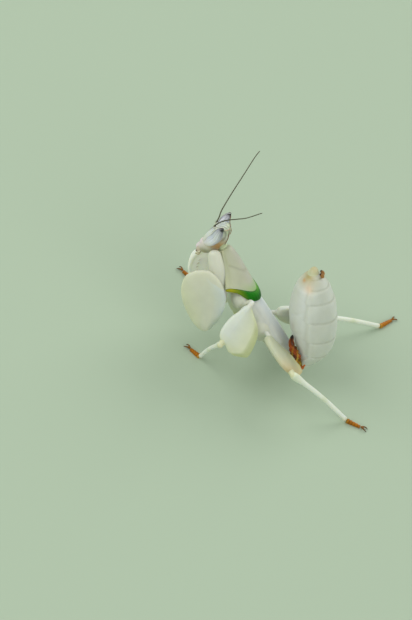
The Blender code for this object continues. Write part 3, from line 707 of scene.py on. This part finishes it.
path = smooth([(-0.9, 0.0, -0.55), (-0.2, -0.02, -0.5), (0.5, -0.05, -0.5), (1.1, -0.1, -0.6)], 60)
girth = (0.92 + 0.05 * np.cos(np.linspace(0, 5 * 2 * math.pi, 60))) * domed(60, 0.1, 0.1)
neck = in_forepart(tube(path, (0, 1, 0), girth, 0.85 * girth, 60))
piece("neck_membrane", [(neck, plain(neck, "#C3CDA4"))], petal_chitin, ["neck"])

# ---------------------------------------------------------------- grasping legs
# Each is folded: a long hip piece lies back, the broad flat thigh forward under it, and the shin is
# shut against its lower edge. One waxed skin, small pale spines along the thigh, a hook at the end.

SPINE_OUT = 3.48
soft_lilac, thigh_yellow = "#D9D8DC", "#C8CDA4"
for side_name, flip in (("left", 1), ("right", -1)):
    rows = smooth([
        (0.9, 1.55, -1.65, 0.85), (-0.3, 2.0, -1.75, 1.15), (-2.4, 2.4, -2.0, 1.35), (-5.0, 2.45, -2.5, 1.35),
        (-7.1, 2.45, -2.95, 1.2), (-9.3, 2.5, -4.1, 1.0), (-11.2, 2.7, -5.4, 0.75), (-11.9, 3.1, -6.1, 0.6),
    ], 110)
    girth = rows[:, 3] * domed(110, 0.08, 0.08)
    upper = tube(rows[:, :3], (0, 1, 0), 0.8 * girth, girth, 60)
    upper_tint = stain(plain(upper, "#D6D7BC"), soft_lilac, 0.3)
    rows = smooth([
        (-12.2, 4.05, -6.8, 0.6, 0.5), (-11.0, 4.2, -6.4, 1.4, 0.66), (-8.8, 4.2, -5.35, 2.45, 0.72),
        (-6.5, 4.2, -4.65, 3.1, 0.74), (-4.4, 4.2, -4.35, 2.85, 0.72), (-3.0, 4.1, -4.1, 2.15, 0.66),
        (-2.0, 4.0, -3.9, 1.2, 0.55),
    ], 130)
    closing = domed(130, 0.06, 0.06)
    femur = tube(rows[:, :3], (0, 1, 0), rows[:, 4] * closing, rows[:, 3] * closing, 90)
    turn = np.linspace(0, 2 * math.pi, 90, endpoint=False)[None]
    s = np.linspace(0, 1, 130)[:, None]
    high = femur[..., 2] - rows[:, None, 2]
    level = high / np.maximum(rows[:, None, 3], 0.3)
    relief = (
        0.05 * bump(level, 0.35, 0.12) - 0.04 * bump(level, -0.62, 0.1)
        + 0.03 * np.sin(7 * s + 5 * level)
    )
    femur = swollen(femur, relief * closing[:, None])
    # Painted highlight: the top of the thigh is tinted a pale bluish white.
    femur_tint = stain(plain(femur, "#D4D6C2"), "#CFD8D2", 0.9 * np.clip((level - 0.25) / 0.6, 0, 1))
    femur_tint = stain(femur_tint, thigh_yellow, 0.4 * np.clip((-0.1 - level) / 0.7, 0, 1))
    s = np.linspace(0, 1, 110)
    path = smooth([
        (-2.0, 3.9, -3.9), (-1.6, 3.9, -5.2), (-2.3, 3.9, -6.8), (-3.85, 3.9, -7.95),
        (-5.8, 3.9, -8.4), (-7.9, 3.9, -8.5),
    ], 110)
    radius = smooth([(0.36,), (0.42,), (0.46,), (0.46,), (0.42,), (0.3,)], 110)[:, 0] * domed(110, 0.04, 0.05)
    tibia = tube(path, (0, 1, 0), radius, radius, 48)
    tibia_tint = stain(plain(tibia, "#D8DABE"), thigh_yellow, 0.25)
    rim_line = smooth([
        (-0.9, -4.9), (-1.5, -6.9), (-3.5, -8.3), (-6.2, -8.85), (-9.8, -8.45), (-11.8, -7.55), (-12.1, -6.4),
        (-10.6, -4.55), (-8.6, -2.85), (-6.4, -1.6), (-3.9, -1.6), (-1.6, -2.8), (-0.9, -4.9),
    ], 121)[:-1]
    across = np.linspace(-1, 1, 81)[:, None]
    spread = np.sin(math.pi / 2 * (1 - np.abs(across)) ** 0.5)
    flat = (-6.4, -5.2) + spread[..., None] * (rim_line - (-6.4, -5.2))
    depth = 4.1 + 0.82 * np.sign(across) * np.clip(1 - spread**2, 0, 1) ** 0.36
    web = np.stack([flat[..., 0], depth * np.ones(120), flat[..., 1]], axis=-1)
    web_tint = stain(plain(web, "#D4D5C0"), "#D3D8B0", 0.55 * np.clip((-5.6 - web[..., 2]) / 2.6, 0, 1))
    elbow, wrist = ball((-11.8, 3.3, -6.2), (0.5, 0.7, 0.55)), ball((-1.95, 3.9, -4.1), (0.42, 0.5, 0.45))
    shells = [
        (upper, upper_tint), (femur, femur_tint), (tibia, tibia_tint), (web, web_tint),
        (elbow, plain(elbow, "#D3D3B8")), (wrist, plain(wrist, "#D3D3B8"))
    ]
    # Painted light: the far (right) leg's tints are raised to the power 0.35, much paler, to lift the shade
    # it lies in behind the near leg.
    placed = [(in_forepart(grid * (1, flip, 1)), tint if flip > 0 else tint**0.35) for grid, tint in shells]
    replaced = [f"fore_{part}_{side_name}" for part in ("coxa", "femur", "tibia")]
    piece("grasping_leg_skin_" + side_name, placed, petal_chitin, replaced, 0.09, 6)

    spines = []
    for k, place in enumerate(np.linspace(0.3, 0.86, 9)):
        row = rows[int(place * 129)]
        root = np.array([row[0], SPINE_OUT, row[2] - row[3] * 0.86])
        lengthwise = 0.5 if k % 2 else 0.36
        line = root + np.linspace(0, 1, 9)[:, None] * np.array([-0.25, -0.45, -1.0]) * lengthwise
        grid = tube(line, (0, 1, 0), np.linspace(0.13, 0.03, 9), np.linspace(0.13, 0.03, 9), 10)
        spines.append(
            (
                in_forepart(grid * (1, flip, 1)),
                stain(plain(grid, "#DAD8C4"), "#B9A888", 0.4 * np.linspace(0, 1, 9)[:, None])
            )
        )
    line = smooth([(-7.3, 3.9, -8.5), (-8.1, 3.85, -8.5), (-8.9, 3.7, -8.1), (-9.3, 3.55, -7.6)], 40)
    taper = np.linspace(0.26, 0.05, 40) * domed(40, 0.1, 0.04)
    grid = tube(line, (0, 1, 0), taper, taper, 24)
    spines.append(
        (
            in_forepart(grid * (1, flip, 1)),
            stain(plain(grid, "#D8D5BE"), "#8A5A30", 0.8 * np.linspace(0, 1, 40)[:, None] ** 3)
        )
    )
    piece("grasping_spines_" + side_name, spines, amber_chitin, [])

    s = np.linspace(0, 1, 140)
    path = smooth([(-7.8, 3.75, -8.35), (-9.8, 3.6, -8.05), (-11.6, 3.55, -7.5)], 140)
    joint = (s * 5) % 1.0
    radius = np.linspace(0.25, 0.16, 140) * (
        0.85 + 0.2 * joint - 0.2 * bump(joint, 0, 0.1)
    ) * domed(140, 0.05, 0.05)
    grid = tube(path, (0, 1, 0), radius, radius, 28)
    tint = stain(plain(grid, "#DADAC8"), "#C9A878", np.clip(s * 1.4 - 0.9, 0, 0.6)[:, None])
    piece(
        "grasping_foot_" + side_name, [(in_forepart(grid * (1, flip, 1)), tint)], amber_chitin,
        ["fore_tarsus_" + side_name]
    )

# ---------------------------------------------------------------- head
# The head capsule, an upturned wedge of waxed chitin with its face plate, lip, jaws, four palps and the
# cups of the feelers, is one skin. A raised rim runs up the front of each eye, brown ridges cross the crown.

HEAD_PLACE = (2.92, -0.49, -1.83)
HEAD_DROP, HEAD_ROLL, HEAD_YAW = 35.0, 1.75, -4.5
head_axes = turned(turned(forepart_axes, -HEAD_DROP, FORWARD, UP), HEAD_ROLL, UP, LEFT)
head_axes = turned(head_axes, HEAD_YAW, FORWARD, LEFT)


def in_head(points):
    """Points from the head's own axes, whose origin is inside the head, to the floor's."""
    return in_forepart(HEAD_PLACE) + np.asarray(points, float) @ head_axes


skull_rows = smooth(
    # height, half width, back, front
    [
        (-3.5, 0.75, -1.30, 0.35), (-2.5, 1.13, -2.20, 0.43), (-1.2, 1.42, -2.85, 0.43),
        (0.2, 1.50, -2.88, 0.38),
        (1.3, 1.62, -2.80, 0.25), (2.2, 1.72, -2.35, 0.00), (2.8, 1.42, -2.00, -0.40),
        (3.15, 0.70, -1.75, -0.85),
    ],
    150,
)
height, half_width, rear, face = skull_rows.T[..., None]
turn = np.linspace(0, 2 * math.pi, 160, endpoint=False)[None]
ends = domed(150, 0.05, 0.04)[:, None]
across = np.sign(np.sin(turn)) * np.abs(np.sin(turn)) ** 0.8
ahead = np.sign(np.cos(turn)) * np.abs(np.cos(turn)) ** 0.8
depth = (face + rear) / 2 + ends * ahead * (face - rear) / 2
skull = np.stack([depth, ends * half_width * across, height * np.ones_like(turn)], axis=-1)
sideways, front = skull[..., 1], np.clip(ahead, 0, 1) * np.ones_like(height)
behind = np.clip(-ahead, 0, 1) * np.ones_like(height)
high = skull[..., 2]
relief = -0.07 * bump(
    high + 0.12 * np.cos(3 * sideways), -1.55, 0.09
) * front - 0.05 * bump(high, -2.55, 0.07) * front
relief += (
    0.09 * bump(sideways, 0, 0.5) * bump(high, -0.4, 0.8) * front
    - 0.05 * bump(sideways, 0, 0.06) * bump(high, 0.6, 0.8) * front
)
for flip in (1, -1):
    relief -= 0.1 * bump(sideways, flip * 0.66, 0.42) * bump(high, 1.4, 0.5) * front
    relief -= 0.06 * bump(sideways, flip * 0.55, 0.06) * np.clip((high - 1.4) / 0.8, 0, 1) * (1 - front)
    relief -= 0.06 * bump(sideways, flip * 1.2, 0.07) * np.clip((high - 1.2) / 0.8, 0, 1) * (1 - front)
    relief += 0.1 * bump(sideways, flip * 1.3, 0.35) * bump(high, -0.6, 0.8) * (1 - behind * 0.6)
skull = swollen(skull, relief * ends)
skull_tint = stain(plain(skull, "#D6DACC"), "#D9DFDF", 0.9 * front * np.clip((high + 1.2) / 1.0, 0, 1))
skull_tint = stain(skull_tint, "#E8DADC", 0.85 * front * np.clip((-0.9 - high) / 0.8, 0, 1))
skull_tint = stain(skull_tint, "#B4C19C", 0.85 * np.clip((high - 1.9) / 0.7, 0, 1) * (1 - 0.7 * front))
stripes = np.abs(np.sin(5.2 * sideways)) ** 6 * np.clip((high - 0.4) / 0.8, 0, 1)
skull_tint = stain(skull_tint, "#6C7268", 0.7 * stripes)
skull_tint = stain(
    skull_tint, "#B4843C", 0.9 * bump(np.abs(sideways), 1.3, 0.7) * bump(high, -0.2, 1.4) * (1 - front)
)
skull_tint = stain(skull_tint, "#968A58", 0.7 * np.clip((-1.9 - high) / 0.8, 0, 1) * (1 - front))
skull_tint = stain(skull_tint, "#A9AF9A", 0.5 * bump(high + 0.12 * np.cos(3 * sideways), -1.55, 0.09) * front)
head_shells = [(skull, skull_tint)]

rose_white = "#E6D8DA"
for centre, sizes, colour in (
    ((0.3, 0.0, -2.02), (0.26, 0.74, 0.42), rose_white), ((0.22, 0.0, -3.05), (0.3, 0.56, 0.6), rose_white),
    ((-0.25, 0.56, -3.05), (0.5, 0.36, 0.75), "#CFC3B0"), (
        (-0.25, -0.56, -3.05), (0.5, 0.36, 0.75), "#CFC3B0"
    ),
    ((-0.5, 0.0, -3.5), (0.5, 0.62, 0.8), "#B8AA80"), ((-0.3, 0.0, -3.8), (0.36, 0.42, 0.5), "#7A5438"),
    ((-1.2, 0.0, 3.0), (0.4, 0.3, 0.32), "#CBD2B8"),
):
    grid = ball(centre, sizes)
    head_shells.append((grid, plain(grid, colour)))
for flip in (1, -1):
    for line, thick, colour in (
        (
            [
                (-0.6, 0.7, -3.2), (-0.55, 0.85, -3.6), (-0.4, 0.75, -4.0), (-0.35, 0.6, -4.3),
                (-0.45, 0.4, -4.5)
            ],
            0.12, "#D2CBB0"
        ),
        ([(-0.9, 0.3, -3.9), (-0.85, 0.4, -4.2), (-0.7, 0.35, -4.4), (-0.6, 0.2, -4.5)], 0.11, "#C9BE9C"),
    ):
        path = smooth(line, 90)
        knots = 1 + 0.16 * np.cos(np.linspace(0, 5 * 2 * math.pi, 90) + math.pi)
        grid = tube(path, (1, 0, 0), thick * knots, thick * knots, 24) * (1, flip, 1)
        head_shells.append((grid, plain(grid, colour)))
    cup = tube(
        smooth([(-0.1, 0.6, 1.7), (0.15, 0.61, 1.72), (0.42, 0.62, 1.74)], 20), (0, 1, 0), 0.36, 0.36, 36
    ) * (1, flip, 1)
    head_shells.append((cup, plain(cup, "#D3D6C4")))

eye_line = smooth([
    (-0.08, 1.64, -1.4), (-0.5, 1.72, -0.4), (-0.76, 1.98, 1.1), (-0.5, 2.58, 2.6), (-0.5, 2.98, 3.8),
], 150)
eye_swell = smooth(
    [[v] for v in (0.24, 0.52, 0.72, 0.87, 0.96, 1.0, 1.0, 0.96, 0.88, 0.76, 0.6, 0.4, 0.14)], 150
)[:, 0]
for flip in (1, -1):
    front_line = eye_line + (0.88 * eye_swell - 0.03)[:, None] * (1, 0, 0) - (0, 0.26, 0)
    path = smooth(np.vstack([front_line[8:-4:10], eye_line[-1] + (-0.1, -0.25, 0.05)]), 220)
    narrowing = domed(220, 0.3, 0.05)
    rim = tube(path, (0, 1, 0), 0.17 * narrowing, 0.09 * narrowing, 24) * (1, flip, 1)
    # Painted shade: the far eye's rim is tinted a darker grey than the near eye's rim.
    head_shells.append((rim, plain(rim, "#D6D6C8" if flip > 0 else "#A2A2A4")))
    for line, thick, colour in (
        (
            [(-0.85, 2.7, 3.5), (-1.3, 1.6, 3.02), (-1.66, 0.7, 3.08), (-1.75, 0.1, 3.1)], 0.075,
            "#B7A58C" if flip > 0 else "#6A4228"
        ),
        (
            [(-1.7, 0.3, 3.08), (-2.2, 0.9, 2.5), (-2.55, 1.25, 1.8), (-2.78, 1.42, 0.8)], 0.07,
            "#6A4228" if flip > 0 else "#8A6A50"
        ),
    ):
        ridge = tube(smooth(line, 90), (1, 0, 0), thick, thick, 16) * (1, flip, 1)
        head_shells.append((ridge, plain(ridge, colour)))
fine_ivory = cuticle("waxed_fine_ivory_chitin", 0.4, 0.5, 0.12, 0.006)
placed = [(in_head(grid), tint) for grid, tint in head_shells]
piece("head_skin", placed, fine_ivory, ["head", "mouthparts"], 0.05)

# ---------------------------------------------------------------- eyes and feelers
# Tall pointed compound eyes under a glossy clear lens layer, lilac grey with fine lengthwise streaks
# and a black tip. The feelers are jointed threads of olive chitin, set in the cups of the face.

lens_chitin = cuticle("glossy_streaked_lens_chitin", 0.22, 0.3, 0.05, 0.002, gloss=0.7, cloud=0.02)
olive_chitin = cuticle("satin_olive_chitin", 0.45, 0.0, 0.1, 0.004, cloud=0.1)
s = np.linspace(0, 1, 150)[:, None]
for side_name, flip in (("left", 1), ("right", -1)):
    rounding = eye_swell * domed(150, 0.03, 0.03)
    grid = tube(eye_line - (0.04, 0, 0), (0, 1, 0), 0.88 * rounding, 0.92 * rounding, 240)
    turn = np.linspace(0, 2 * math.pi, 240, endpoint=False)[None]
    backward = np.sin(turn)
    streak = 0.5 + 0.5 * np.sin(34 * turn + 1.5 * np.sin(3 * turn) + 2.0 * s)
    streak = streak * (0.6 + 0.4 * np.sin(13 * turn + 4 * s))
    # Painted highlight: the outer face of each eye is tinted near white.
    tint = stain(
        plain(grid, "#C8CCD8"), "#F0F2F5",
        0.9 * bump(turn, 0.1, 0.75) + 0.9 * bump(turn, 2 * math.pi + 0.1, 0.75)
    )
    tint = stain(tint, "#D9DBE2", 0.8 * bump(turn, 3.5, 0.9))
    tint = stain(tint, "#E2DBD2", np.clip((0.36 - s) / 0.3, 0, 1))
    tint = stain(tint, "#6F6A6A", 0.7 * streak**2 * np.clip((s - 0.15) * 2, 0, 1))
    # The back of each eye is tinted a darker lilac grey; the weaker weight on the far eye is painted light
    # that makes that eye paler.
    tint = stain(
        tint, "#7C7C90", (0.6 if flip > 0 else 0.3) * bump(backward, 0.9, 0.5) * np.clip(s * 2 - 0.3, 0, 1)
    )
    tint = stain(tint, "#544E58", 0.7 * np.clip((s - 0.66) / 0.26, 0, 1) ** 1.3)
    tint = stain(tint, "#332620", 0.8 * bump(turn, 4.95, 0.1) * np.clip(s * 3 - 0.9, 0, 1))
    tint = stain(tint, "#15100E", np.clip((s - 0.87) / 0.05, 0, 1))
    piece(
        "compound_eye_" + side_name, [(in_head(grid * (1, flip, 1)), tint)], lens_chitin,
        ["eye_" + side_name]
    )

FEELERS = {
    "left": [
        (0.4, 0.62, 1.74), (0.5, 1.15, 2.6), (0.29, 2.34, 4.37), (-0.21, 3.19, 5.8), (-1.02, 4.33, 7.6),
        (-1.75, 5.49, 9.4),
        (-2.69, 7.32, 12.76),
    ],
    "right": [
        (0.4, -0.62, 1.74), (0.68, -0.85, 2.86), (1.13, -1.33, 4.12), (1.62, -2.64, 7.02),
        (2.01, -4.14, 10.04),
        (2.35, -5.97, 12.76), (2.35, -6.91, 13.91),
    ],
}
for side_name, line in FEELERS.items():
    s = np.linspace(0, 1, 420)
    radius = (0.115 - 0.045 * s) * (
        1 + 0.1 * np.cos(52 * 2 * math.pi * s)
    ) + 0.13 * np.clip(1 - s / 0.045, 0, 1) ** 0.3 + 0.05 * bump(s, 0.06, 0.012)
    grid = in_head(
        tube(
            smooth(line, 420), (1, 0, 0), radius * domed(420, 0.004, 0.004),
            radius * domed(420, 0.004, 0.004), 14
        )
    )
    tint = stain(plain(grid, "#4E4A32"), "#C9CCAE", np.clip(1 - s / 0.05, 0, 1)[:, None])
    piece("feeler_" + side_name, [(grid, tint)], olive_chitin, ["antenna_" + side_name])

# ---------------------------------------------------------------- waist marks and tail feelers
# Knobbly red-brown crests lie in the crease between thorax and abdomen, black at the top and yellow
# green below. Two short jointed cerci of amber chitin stand at the tip of the abdomen.

mark_chitin = cuticle("glossy_red_brown_chitin", 0.35, 0.0, 0.15, 0.02, gloss=0.1, cloud=0.3, shine=0.25)
mark_line = smooth([
    (3.8, 3.45, 4.3), (2.4, 3.3, 3.3), (1.0, 3.35, 2.95), (-0.4, 3.55, 2.85),
    (-1.4, 3.8, 2.6), (-2.2, 3.95, 2.8), (-2.0, 4.0, 3.6),
], 160)
cercus_line = smooth([(9.8, 0.35, 12.8), (10.25, 0.5, 12.98), (10.75, 0.55, 12.8)], 90)
for side_name, flip in (("left", 1), ("right", -1)):
    s = np.linspace(0, 1, 160)
    radius = (
        0.1 + 0.52 * np.sin(math.pi * s**0.85) ** 0.8 + 0.1 * np.cos(s * 6 * 2 * math.pi) * s
    ) * domed(160, 0.05, 0.08)
    grid = tube(mark_line, (0, 1, 0), radius, radius, 56)
    turn = np.linspace(0, 2 * math.pi, 56, endpoint=False)[None]
    s = s[:, None]
    grid = swollen(grid, 0.16 * np.sin(4 * turn + 23 * s) * np.sin(37 * s) * np.sin(math.pi * s))
    tint = stain(plain(grid, "#98430A"), "#4E2206", 0.9 * bump(np.sin(17 * s + 2 * turn), 1, 0.7))
    tint = stain(tint, "#D4AE3C", 0.9 * bump(np.sin(26 * s - 3 * turn), 1, 0.4) * np.clip(s * 2 - 0.3, 0, 1))
    tint = stain(tint, "#A8981E", 0.75 * bump(s, 0.68, 0.1))
    tint = stain(tint, "#C8661A", np.clip((s - 0.8) / 0.1, 0, 1))
    tint = stain(tint, "#150C08", np.clip((0.1 - s) / 0.05, 0, 1))
    piece(
        "waist_crest_" + side_name, [(in_body(grid * (1, flip, 1)), tint)], mark_chitin,
        ["waist_mark_" + side_name]
    )

    s = np.linspace(0, 1, 90)
    radius = (
        0.24 + 0.08 * np.sin(math.pi * s) - 0.08 * s**2
    ) * (1 + 0.08 * np.cos(s * 6 * 2 * math.pi)) * domed(90, 0.1, 0.1)
    grid = tube(cercus_line, (0, 1, 0), radius, radius, 32)
    tint = stain(plain(grid, "#A8783C"), "#5E3812", 0.7 * np.clip(s * 1.4 - 0.4, 0, 1)[:, None])
    tint = stain(tint, "#100B08", np.clip((s - 0.82) / 0.06, 0, 1)[:, None])
    piece(
        "tail_feeler_" + side_name, [(in_body(grid * (1, flip, 1)), tint)], amber_chitin,
        ["cercus_" + side_name]
    )
